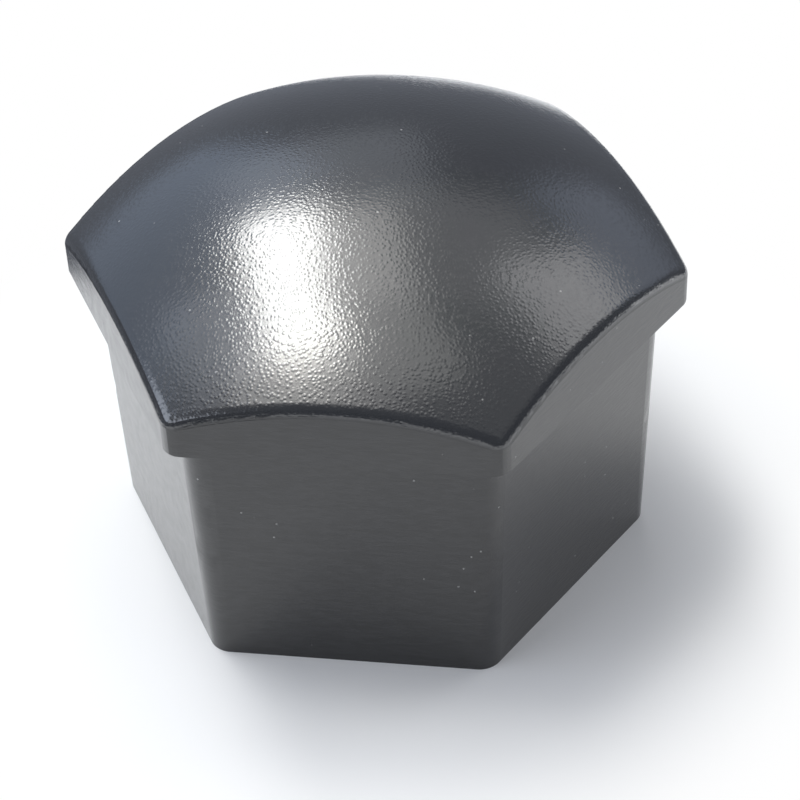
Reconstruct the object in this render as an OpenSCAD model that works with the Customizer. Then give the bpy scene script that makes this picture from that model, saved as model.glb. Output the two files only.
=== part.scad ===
// Push-on cover cap for a hexagonal wheel nut or wheel bolt head.
// One moulding: a hexagonal skirt that slides over the nut, and a wider domed head that overhangs it.
// The rim stands on the plane z = 0, the axis is Z, and two corners of the hexagon lie on the X axis.

/* [Wheel nut] */
// Across flats of the nut that the cap covers
nut_af = 17; // [15:0.5:19]
// Height of the nut that the socket takes before the stops touch it
nut_h = 12.4; // [9:0.1:13]

/* [Socket] */
// Gap between the nut and each wall of the socket at the mouth
socket_gap = 0.2; // [0.1:0.05:0.3]
// Draft of the socket walls in degrees, closing in towards the ceiling
socket_draft = 0.7; // [0.3:0.1:1]
// Radius of the socket's upright corners at the mouth
socket_corner_r = 0.7; // [0.5:0.1:1]
// Width of the lead-in chamfer round the mouth
lead_in = 0.4; // [0.2:0.05:0.6]

/* [Grip ribs] */
// Radius of the half-round ribs on the socket walls
rib_r = 0.5; // [0.5:0.05:0.8]
// How far each rib squeezes into the nut's flat
rib_squeeze = 0.08; // [0:0.01:0.15]
// Distance between the two ribs on one wall
rib_pitch = 4.4; // [3:0.1:5.5]
// Height of the ribs' lower ends above the rim
rib_start = 1.4; // [1:0.1:3]
// Length of the tapered nose at each rib's lower end
rib_nose = 1.2; // [0.6:0.1:2]

/* [Stop webs] */
// Thickness of the webs under the ceiling
stop_t = 0.8; // [0.6:0.1:1.2]
// How far each web reaches in from the socket wall
stop_reach = 2.6; // [1.5:0.1:4]

/* [Skirt] */
// Wall of the skirt at the rim
skirt_wall = 1.05; // [0.9:0.05:1.6]
// Height of the skirt, from the rim to the underside of the head
skirt_h = 11.9; // [10:0.1:13]
// Draft of the skirt's outside in degrees, widening up to the head
skirt_draft = 1.7; // [0.5:0.1:2]
// Radius of the skirt's upright corners at the rim
skirt_corner_r = 1; // [0.7:0.1:1.6]

/* [Head] */
// How far the head stands out past the top of the skirt
overhang = 0.9; // [0.5:0.05:1.3]
// Height of the whole cap, from the rim to the top of the dome
cap_h = 17.6; // [16.8:0.1:20]
// Radius of the dome
dome_r = 20.7; // [19:0.1:30]
// Thickness of the ceiling under the dome
dome_wall = 1.5; // [1.2:0.1:2]
// Radius that rolls the dome over into the head's sides
edge_r = 0.45; // [0.2:0.05:0.6]
// Radius of the head's upright corners
head_corner_r = 0.9; // [0.7:0.1:1.5]

/* [Quality] */
// Steps in a full circle
$fn = 96; // [48:12:144]

/* [Hidden] */

// Angle from one face of a hexagon to the next
face_step = 60;
// Angle of the lead-in chamfer
lead_in_angle = 45;
// How far a shape runs past the face that it cuts or joins
over = 0.1;
// How far a round stands proud of the faces that it blends, so that the surfaces cross cleanly
proud = 0.003;

// Hexagons, across flats
socket_af = nut_af + 2*socket_gap;
rim_af = socket_af + 2*skirt_wall;
head_af = rim_af + 2*skirt_h*tan(skirt_draft) + 2*overhang;

// Centre height of the dome, and distance from the axis to the centre of an upright corner of the head
dome_z = cap_h - dome_r;
head_centre_reach = corner_reach(head_af - 2*head_corner_r);

// A ball of the edge radius that rolls round a corner of the head follows a short arc.
// Heights of that arc's middle and ends, and how far it steps back from its middle to its ends
arc_plan_r = head_corner_r - edge_r;
arc_mid_z = rolling_z(head_centre_reach + arc_plan_r, 0);
arc_end_z = rolling_z(head_centre_reach + arc_plan_r*cos(face_step/2), arc_plan_r*sin(face_step/2));
arc_back = arc_plan_r*(1 - cos(face_step/2));
// Lean of the arc's plane, and the arc's depth and true radius in that plane
arc_lean = atan2(arc_end_z - arc_mid_z, arc_back);
arc_depth = norm([arc_back, arc_end_z - arc_mid_z]);
arc_r = (pow(arc_plan_r*sin(face_step/2), 2) + pow(arc_depth, 2))/(2*arc_depth);

// Axis of a grip rib from the cap's axis, and its radius where the nose leaves the wall
rib_axis = nut_af/2 - rib_squeeze + rib_r;
rib_nose_r = rib_axis - socket_af/2;

// Colour of the moulded plastic
anthracite = [0.29, 0.31, 0.35];

// Distance from the axis to a sharp corner of a hexagon
function corner_reach(af) = af/2/cos(face_step/2);

// Centre height of a ball of the edge radius that touches the dome from inside, above a point of the plan
function rolling_z(x, y) = dome_z + sqrt(pow(dome_r - edge_r, 2) - x*x - y*y);

// Hexagonal block with rounded upright corners. Its sides open out by the draft angle as they rise,
// and each corner is a cone about a fixed centre, so it meets both sides smoothly at every height.
// The spare lets the sides stand clear of another shape's faces where only the corners are wanted.
module drafted_hexagon(af, draft, h, corner_r, spare = 0) {
    centre_reach = corner_reach(af - 2*corner_r);
    grow = h*tan(draft);
    low = af/2 + spare;
    round_r = corner_r + proud;
    for (turn = [0:face_step:180 - face_step])
        rotate([90, 0, 90 + turn])
            translate([0, 0, -centre_reach/2])
                linear_extrude(centre_reach)
                    polygon([[-low, 0], [low, 0], [low + grow, h], [-low - grow, h]]);
    for (turn = [0:face_step:360 - face_step])
        rotate(turn)
            translate([centre_reach, 0, 0])
                cylinder(h = h, r1 = round_r, r2 = round_r + grow);
}

// Quarter section of the dome's ball, cut off at a distance and rolled over there by the edge radius
module cut_ball_section(cut) {
    roll_x = cut - edge_r;
    roll_y = sqrt(pow(dome_r - edge_r, 2) - pow(roll_x, 2));
    touch_x = dome_r*roll_x/(dome_r - edge_r);
    intersection() {
        square([cut, dome_r]);
        union() {
            intersection() {
                circle(dome_r);
                square([touch_x, dome_r + over]);
            }
            square([cut + over, roll_y]);
            translate([roll_x, roll_y]) circle(edge_r + proud);
        }
    }
}

// Ball cut flat on two opposite faces of the head: a revolve about the line through those faces
module faced_ball() {
    rotate([90, 0, 0])
        rotate_extrude()
            for (side = [0, 1])
                mirror([0, side]) mirror([1, -1]) cut_ball_section(head_af/2);
}

// Ball cut flat on all six faces of the head
module six_faced_ball() {
    intersection() {
        faced_ball();
        rotate(face_step) faced_ball();
        rotate(2*face_step) faced_ball();
    }
}

// Round body that the rolling ball sweeps at the corner on +X, filled in up through the dome
module corner_puck() {
    puck_r = edge_r + 2*proud;
    translate([head_centre_reach + arc_plan_r - arc_r*cos(arc_lean), 0, arc_mid_z + arc_r*sin(arc_lean)])
        rotate([0, arc_lean, 0])
            rotate_extrude()
                intersection() {
                    union() {
                        translate([arc_r, 0]) circle(puck_r);
                        translate([0, -puck_r]) square([arc_r, 2*puck_r + over]);
                    }
                    translate([0, -puck_r]) square([arc_r + puck_r, 2*puck_r + over]);
                }
}

// What the corner on +X loses above its upright round. Two planes through the centre of the dome
// hold it between the rolled edges of the two sides that meet there.
module corner_trim() {
    lean = atan2(head_centre_reach, arc_end_z - dome_z);
    half_angle = atan2(sin(face_step/2), cos(face_step/2)*cos(lean));
    reach = 3*head_corner_r;
    difference() {
        intersection() {
            translate([head_centre_reach, 0, arc_end_z])
                rotate([0, lean, 0])
                    linear_extrude(2*reach, center = true)
                        polygon([[0, 0], [reach, -reach*tan(half_angle)], [reach, reach*tan(half_angle)]]);
            translate([head_centre_reach - reach, -reach, (arc_mid_z + arc_end_z)/2])
                cube([2*reach, 2*reach, reach]);
        }
        corner_puck();
    }
}

// Domed head: each side cuts the dome in a low arc, and every edge between them is rolled over
module head() {
    difference() {
        intersection() {
            translate([0, 0, skirt_h])
                drafted_hexagon(head_af, 0, cap_h - skirt_h + over, head_corner_r, over);
            translate([0, 0, dome_z]) six_faced_ball();
        }
        for (turn = [0:face_step:360 - face_step]) rotate(turn) corner_trim();
    }
}

module skirt() {
    drafted_hexagon(rim_af, skirt_draft, skirt_h + over, skirt_corner_r);
}

// Hexagonal hollow for the nut, under a ceiling that follows the dome
module socket() {
    intersection() {
        drafted_hexagon(socket_af, -socket_draft, cap_h, socket_corner_r);
        translate([0, 0, dome_z]) sphere(dome_r - dome_wall);
    }
    flare = lead_in + over;
    translate([0, 0, -over])
        drafted_hexagon(socket_af + 2*flare, -lead_in_angle, flare + over, socket_corner_r + flare);
}

// Half-round rib with a tapered nose, on the wall that faces +X
module grip_rib() {
    translate([rib_axis, 0, rib_start]) {
        cylinder(h = rib_nose, r1 = rib_nose_r, r2 = rib_r);
        translate([0, 0, rib_nose]) cylinder(h = cap_h, r = rib_r);
    }
}

// Upright web under the ceiling, which the top of the nut meets
module stop_web() {
    translate([socket_af/2 - stop_reach, -stop_t/2, nut_h])
        cube([stop_reach + over, stop_t, cap_h]);
}

// What stands on the six socket walls
module wall_fittings() {
    for (turn = [0:face_step:360 - face_step])
        rotate(turn + face_step/2) {
            for (side = [-1, 1]) translate([0, side*rib_pitch/2, 0]) grip_rib();
            stop_web();
        }
}

module cover_cap() {
    color(anthracite)
        difference() {
            union() {
                skirt();
                head();
            }
            difference() {
                socket();
                wall_fittings();
            }
        }
}

cover_cap();
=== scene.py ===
import math

import bpy
from mathutils import Matrix, Vector

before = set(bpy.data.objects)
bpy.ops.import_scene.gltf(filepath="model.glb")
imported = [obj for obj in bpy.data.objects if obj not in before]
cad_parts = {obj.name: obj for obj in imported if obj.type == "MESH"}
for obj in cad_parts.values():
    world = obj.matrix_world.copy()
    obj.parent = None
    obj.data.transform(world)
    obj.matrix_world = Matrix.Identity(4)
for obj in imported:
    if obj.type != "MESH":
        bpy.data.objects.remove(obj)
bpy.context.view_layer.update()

print("frame loaded:", len(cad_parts), "node")

mm = 0.001
flatAngles = (30, 90, 150)    # where the flats of the hexagon face, each with its opposite one


def skyDirection(azimuth, elevation):
    # azimuth turns from +Y towards +X, both in degrees
    flat = math.cos(math.radians(elevation))
    return Vector((flat * math.sin(math.radians(azimuth)),
                   flat * math.cos(math.radians(azimuth)),
                   math.sin(math.radians(elevation))))


def addNode(tree, kind, **settings):
    node = tree.nodes.new(kind)
    for name, value in settings.items():
        setattr(node, name, value)
    return node


def feed(tree, value, socket):
    # a number or a colour goes on the socket itself, anything else is linked to it
    if isinstance(value, (int, float)):
        socket.default_value = value
    elif isinstance(value, tuple):
        socket.default_value = (*value, 1.0) if len(value) < len(socket.default_value) else value
    else:
        tree.links.new(value, socket)


def mathNode(tree, operation, first, second):
    node = addNode(tree, "ShaderNodeMath", operation=operation)
    feed(tree, first, node.inputs[0])
    feed(tree, second, node.inputs[1])
    return node.outputs[0]


def rangeNode(tree, value, low, high, toLow=0.0, toHigh=1.0, curve="SMOOTHSTEP"):
    node = addNode(tree, "ShaderNodeMapRange", interpolation_type=curve)
    for name, number in (("Value", value), ("From Min", low), ("From Max", high),
                         ("To Min", toLow), ("To Max", toHigh)):
        feed(tree, number, node.inputs[name])
    return node.outputs["Result"]


def noiseNode(tree, place, size, detail):
    node = addNode(tree, "ShaderNodeTexNoise")
    feed(tree, place, node.inputs["Vector"])
    feed(tree, 1 / size, node.inputs["Scale"])
    feed(tree, detail, node.inputs["Detail"])
    return node.outputs["Fac"]


def cellNode(tree, place, size):
    node = addNode(tree, "ShaderNodeTexVoronoi", feature="F1")
    feed(tree, place, node.inputs["Vector"])
    feed(tree, 1 / size, node.inputs["Scale"])
    return node.outputs["Distance"]


def bumpNode(tree, height, depth, normal=None):
    node = addNode(tree, "ShaderNodeBump")
    feed(tree, 1.0, node.inputs["Strength"])
    feed(tree, depth, node.inputs["Distance"])
    feed(tree, height, node.inputs["Height"])
    if normal is not None:
        feed(tree, normal, node.inputs["Normal"])
    return node.outputs["Normal"]


def flatsNode(tree, place):
    # how far out a point lies towards the nearest of the six flats
    furthest = 0.0
    for angle in flatAngles:
        along = addNode(tree, "ShaderNodeVectorMath", operation="DOT_PRODUCT")
        feed(tree, place, along.inputs[0])
        feed(tree, (math.cos(math.radians(angle)), math.sin(math.radians(angle)), 0.0), along.inputs[1])
        reach = mathNode(tree, "ABSOLUTE", along.outputs["Value"], 0.0)
        furthest = mathNode(tree, "MAXIMUM", reach, furthest)
    return furthest


def mixColours(tree, share, first, second):
    # the Mix node takes its two colours on sockets 6 and 7, and gives the mixed one on 2
    node = addNode(tree, "ShaderNodeMix", data_type="RGBA")
    feed(tree, share, node.inputs["Factor"])
    feed(tree, first, node.inputs[6])
    feed(tree, second, node.inputs[7])
    return node.outputs[2]


plastic = {
    "colour": (0.0170, 0.0178, 0.0198),        # anthracite, on the grained top
    "paleColour": (0.0215, 0.0225, 0.0248),
    "mottleSize": 2.4 * mm,
    "mottleDetail": 4,
    "sideShadeColour": (0.0045, 0.0047, 0.0054),    # painted shade: the sides are coloured darker than the top, standing in for the shade they get from the shaded paper around them
    "sidePale": (0.0165, 0.0167, 0.0180),
    "streakSize": 0.6 * mm,                    # faint level streaks of the sides
    "streakDetail": 4,
    "streakFlat": (1.0, 1.0, 5.0),             # how much they are squeezed along X, Y and Z
    "streakEnds": (0.35, 0.65),                # noise values of the dark and the pale ones
    "streakDepth": 0.0070 * mm,
    "dustColour": (0.30, 0.30, 0.29),          # small pale specks here and there
    "dustApart": 0.95 * mm,
    "dustSize": 0.052 * mm,
    "dustCore": 0.6,                           # share of a speck that is fully pale
    "ior": 1.50,
    "roughness": (0.18, 0.24),
    "dullSize": 0.45 * mm,                     # patches that are a little duller
    "dullDetail": 3,
    "dullEnds": (0.3, 0.7),
    "gloss": (0.40, 1.0),                      # shiny skin of the sides and of the top
    "glossIor": 1.70,
    "glossRoughness": 0.20,
    "domeRadius": 20.7 * mm,
    "domeCentre": (0.0, 0.0, -3.1 * mm),
    "grainFade": (0.16 * mm, 0.04 * mm),       # depth under the ball where the grain fades out
    "grainSize": 0.15 * mm,
    "grainTop": (0.10, 0.62),                  # how far a grain's flat top and its slope reach
    "grainDepth": 0.0043 * mm,
    "fineSize": 0.11 * mm,                     # finer unevenness between the grains
    "fineDetail": 1,
    "fineDepth": 0.0016 * mm,
    "rim": (10.56 * mm, 11.0 * mm),            # the top rolls over from here out to the flats
    "rimCurve": 2.0,
    "rimDepth": 0.11 * mm,
    "sideSize": 0.40 * mm,                     # slight waviness all over
    "sideDetail": 2,
    "sideDepth": 0.0006 * mm,
}


def makePlastic(name, values):
    material = bpy.data.materials.new(name)
    material.use_nodes = True
    tree = material.node_tree
    shader = tree.nodes["Principled BSDF"]
    place = addNode(tree, "ShaderNodeTexCoord").outputs["Object"]

    # how deep a point lies under the ball that shapes the top
    away = addNode(tree, "ShaderNodeVectorMath", operation="DISTANCE")
    feed(tree, place, away.inputs[0])
    feed(tree, values["domeCentre"], away.inputs[1])
    depth = mathNode(tree, "SUBTRACT", values["domeRadius"], away.outputs["Value"])
    onTop = rangeNode(tree, depth, values["grainFade"][1], values["grainFade"][0], 1.0, 0.0)
    onSides = mathNode(tree, "SUBTRACT", 1.0, onTop)

    mottle = noiseNode(tree, place, values["mottleSize"], values["mottleDetail"])
    grained = mixColours(tree, mottle, values["colour"], values["paleColour"])
    level = addNode(tree, "ShaderNodeMapping")
    feed(tree, place, level.inputs["Vector"])
    feed(tree, values["streakFlat"], level.inputs["Scale"])
    streak = noiseNode(tree, level.outputs["Vector"], values["streakSize"], values["streakDetail"])
    # painted shade on the sides: their colour is darker than the top's, and the streaks vary it at
    # random
    shadedSides = mixColours(tree, rangeNode(tree, streak, *values["streakEnds"]),
                        values["sideShadeColour"], values["sidePale"])
    clean = mixColours(tree, onTop, shadedSides, grained)
    speck = values["dustSize"] / values["dustApart"]
    dust = rangeNode(tree, cellNode(tree, place, values["dustApart"]),
                     speck, speck * values["dustCore"], 0.0, 1.0)
    feed(tree, mixColours(tree, dust, clean, values["dustColour"]), shader.inputs["Base Color"])
    dull = noiseNode(tree, place, values["dullSize"], values["dullDetail"])
    feed(tree, rangeNode(tree, dull, *values["dullEnds"], *values["roughness"]),
         shader.inputs["Roughness"])

    # bumps, one on top of the other: the rolled rim, the top's grain, then the sides
    roll = rangeNode(tree, flatsNode(tree, place), *values["rim"], curve="LINEAR")
    roll = mathNode(tree, "MULTIPLY", mathNode(tree, "POWER", roll, values["rimCurve"]), -1.0)
    normal = bumpNode(tree, roll, values["rimDepth"])
    grain = rangeNode(tree, cellNode(tree, place, values["grainSize"]),
                      *values["grainTop"], 1.0, 0.0)
    normal = bumpNode(tree, mathNode(tree, "MULTIPLY", grain, onTop), values["grainDepth"], normal)
    fine = noiseNode(tree, place, values["fineSize"], values["fineDetail"])
    normal = bumpNode(tree, mathNode(tree, "MULTIPLY", fine, onTop), values["fineDepth"], normal)
    wave = noiseNode(tree, place, values["sideSize"], values["sideDetail"])
    normal = bumpNode(tree, wave, values["sideDepth"], normal)
    normal = bumpNode(tree, mathNode(tree, "MULTIPLY", streak, onSides),
                      values["streakDepth"], normal)
    feed(tree, normal, shader.inputs["Normal"])
    feed(tree, normal, shader.inputs["Coat Normal"])

    shader.inputs["Metallic"].default_value = 0.0
    shader.inputs["IOR"].default_value = values["ior"]
    feed(tree, rangeNode(tree, onTop, 0.0, 1.0, *values["gloss"]), shader.inputs["Coat Weight"])
    shader.inputs["Coat Roughness"].default_value = values["glossRoughness"]
    shader.inputs["Coat IOR"].default_value = values["glossIor"]
    return material


capPlastic = makePlastic("anthracitePlastic", plastic)
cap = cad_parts["cover_cap"]
for slotIndex in range(len(cap.data.materials)):
    cap.data.materials[slotIndex] = capPlastic
print("the cap has its plastic")

paper = {
    "side": 150 * mm,
    "turn": 25.5,                        # degrees, clockwise seen from above
    "toLeft": 25 * mm,                   # from the cap's middle to the sheet's left side
    "toBack": 46 * mm,                   # and to its far side
    "colour": (0.95, 0.95, 0.95),
    "veil": 0.10,                        # share of plain white in what is seen of it
    "whiteOut": (14.5 * mm, 24 * mm),    # for the camera it turns all white between these distances from the middle, painting light over the outer edge of the cap's shadow
}


def makePaper(values):
    left, right = -values["toLeft"], values["side"] - values["toLeft"]
    front, back = values["toBack"] - values["side"], values["toBack"]
    turn = Matrix.Rotation(-math.radians(values["turn"]), 4, "Z")
    corners = [turn @ Vector((x, y, 0.0))
               for x, y in ((left, front), (right, front), (right, back), (left, back))]
    mesh = bpy.data.meshes.new("paperSheet")
    mesh.from_pydata([tuple(corner) for corner in corners], [], [(0, 1, 2, 3)])
    sheet = bpy.data.objects.new("paperSheet", mesh)
    bpy.context.scene.collection.objects.link(sheet)

    material = bpy.data.materials.new("whitePaper")
    material.use_nodes = True
    tree = material.node_tree
    tree.nodes.clear()
    matt = addNode(tree, "ShaderNodeBsdfDiffuse")
    feed(tree, values["colour"], matt.inputs["Color"])
    white = addNode(tree, "ShaderNodeEmission")
    rays = addNode(tree, "ShaderNodeLightPath")
    away = addNode(tree, "ShaderNodeVectorMath", operation="LENGTH")
    feed(tree, addNode(tree, "ShaderNodeTexCoord").outputs["Object"], away.inputs[0])
    # painted light: for camera rays the paper fades to plain white from 14.5 mm out, over the outer
    # edge of the cap's shadow
    share = rangeNode(tree, away.outputs["Value"], *values["whiteOut"], values["veil"], 1.0)
    seen = mathNode(tree, "MAXIMUM", rays.outputs["Is Glossy Ray"],
                    rays.outputs["Is Transmission Ray"])
    seen = mathNode(tree, "MAXIMUM", mathNode(tree, "MULTIPLY", seen, values["veil"]),
                    mathNode(tree, "MULTIPLY", rays.outputs["Is Camera Ray"], share))
    mix = addNode(tree, "ShaderNodeMixShader")
    feed(tree, seen, mix.inputs[0])
    feed(tree, matt.outputs[0], mix.inputs[1])
    feed(tree, white.outputs[0], mix.inputs[2])
    feed(tree, mix.outputs[0], addNode(tree, "ShaderNodeOutputMaterial").inputs["Surface"])
    mesh.materials.append(material)
    return sheet


floor = makePaper(paper)
print("the paper lies under the cap")

# each lamp is a soft panel in the sky over the cap, given by the middles of its two ends
# as azimuth and elevation, its width in degrees, and how bright it looks
lamps = {
    "window": {"from": (-32, 45), "to": (-91, 74), "wide": 14, "radiance": 11.0,
               "colour": (1.0, 1.0, 0.98)},
    "windowTop": {"from": (-80, 71), "to": (-104, 79), "wide": 15, "radiance": 6.2,
                  "colour": (1.0, 0.97, 0.90)},
    "windowSide": {"from": (-64, 48), "to": (-106, 58), "wide": 18, "radiance": 1.0,
                   "colour": (0.90, 0.97, 1.10)},
    "windowGlow": {"from": (-16, 50), "to": (-16, 76), "wide": 16, "radiance": 2.0,
                   "colour": (1.0, 0.99, 0.95)},
    "ceiling": {"from": (-30, 76), "to": (139, 76), "wide": 26, "radiance": 1.2,
                "colour": (1.0, 1.0, 0.97)},
    "ceilingLeft": {"from": (-102, 59), "to": (-150, 80), "wide": 18, "radiance": 2.0,
                    "colour": (1.0, 0.99, 0.96)},
    "middleGlow": {"from": (10, 42), "to": (44, 70), "wide": 26, "radiance": 0.42,
                   "colour": (1.0, 1.0, 1.0)},
    "backWall": {"from": (-18, 22), "to": (-16, 50), "wide": 30, "radiance": 0.36,
                 "colour": (0.92, 0.99, 1.08)},
    "backGlow": {"from": (-66, 8), "to": (-66, 48), "wide": 80, "radiance": 0.42,
                 "colour": (0.72, 0.90, 1.20)},
    "farLamp": {"from": (50, 33), "to": (58, 56), "wide": 23, "radiance": 1.6,
                "colour": (1.0, 1.0, 1.0)},
    "rightGlow": {"from": (40, 14), "to": (40, 34), "wide": 36, "radiance": 0.40,
                  "colour": (0.80, 0.92, 1.15)},
    "rightPanel": {"from": (94, 42), "to": (94, 76), "wide": 36, "radiance": 0.18,
                   "colour": (1.0, 1.0, 0.98)},
    "leftPanel": {"from": (-116, 12), "to": (-116, 38), "wide": 44, "radiance": 1.9,
                  "colour": (0.90, 0.96, 1.08)},
}
lampDistance = 600 * mm
aim = Vector((0.0, 0.0, 12 * mm))


def makeLamp(name, values):
    ends = [skyDirection(*values["from"]), skyDirection(*values["to"])]
    middle = (ends[0] + ends[1]).normalized()
    along = (ends[1] - ends[0]).normalized()
    lamp = bpy.data.lights.new(name, "AREA")
    lamp.shape = "RECTANGLE"
    lamp.size = 2 * lampDistance * math.tan(math.radians(values["wide"]) / 2)
    lamp.size_y = 2 * lampDistance * math.tan(ends[0].angle(ends[1]) / 2)
    lamp.energy = values["radiance"] * math.pi * lamp.size * lamp.size_y
    lamp.color = values["colour"]
    panel = bpy.data.objects.new(name, lamp)
    across = along.cross(middle)
    facing = Matrix((across, along, middle)).transposed().to_4x4()
    panel.matrix_world = Matrix.Translation(aim + lampDistance * middle) @ facing
    panel.visible_camera = False
    bpy.context.scene.collection.objects.link(panel)


for lampName, lampValues in lamps.items():
    makeLamp(lampName, lampValues)

room = {
    "fill": (0.105, 0.120, 0.155),
    "whiteInGloss": 0.08,                # share of plain white that a reflection finds
}


def makeRoom(values):
    world = bpy.data.worlds.new("room")
    world.use_nodes = True
    bpy.context.scene.world = world
    tree = world.node_tree
    tree.nodes.clear()
    fill = addNode(tree, "ShaderNodeBackground")
    feed(tree, values["fill"], fill.inputs["Color"])
    white = addNode(tree, "ShaderNodeBackground")
    feed(tree, (1.0, 1.0, 1.0), white.inputs["Color"])
    rays = addNode(tree, "ShaderNodeLightPath")
    glossy = mathNode(tree, "MULTIPLY", rays.outputs["Is Glossy Ray"], values["whiteInGloss"])
    seen = mathNode(tree, "MAXIMUM", rays.outputs["Is Camera Ray"], glossy)
    seen = mathNode(tree, "MAXIMUM", seen, rays.outputs["Is Transmission Ray"])
    mix = addNode(tree, "ShaderNodeMixShader")
    feed(tree, seen, mix.inputs[0])
    feed(tree, fill.outputs[0], mix.inputs[1])
    feed(tree, white.outputs[0], mix.inputs[2])
    feed(tree, mix.outputs[0], addNode(tree, "ShaderNodeOutputWorld").inputs["Surface"])


makeRoom(room)
bpy.context.scene.view_settings.view_transform = "Standard"
print("lamps and room are set")

view = {
    "place": (13.41 * mm, -80.96 * mm, 77.93 * mm),
    "turnLeft": 8.80,                    # degrees from looking straight along +Y
    "lookDown": 41.44,
    "lean": -2.42,
    "lens": 117.38,
    "sensor": 36.0,
    "nearest": 5 * mm,                   # what is nearer or further than this isn't drawn
    "furthest": 10.0,
}


def makeCamera(values):
    camera = bpy.data.cameras.new("camera")
    camera.lens = values["lens"]
    camera.sensor_width = values["sensor"]
    camera.clip_start = values["nearest"]
    camera.clip_end = values["furthest"]
    holder = bpy.data.objects.new("camera", camera)
    holder.matrix_world = (Matrix.Translation(values["place"])
                           @ Matrix.Rotation(math.radians(values["turnLeft"]), 4, "Z")
                           @ Matrix.Rotation(math.radians(90 - values["lookDown"]), 4, "X")
                           @ Matrix.Rotation(math.radians(values["lean"]), 4, "Z"))
    bpy.context.scene.collection.objects.link(holder)
    return holder


bpy.context.scene.camera = makeCamera(view)
print("the camera stands where the picture was taken")
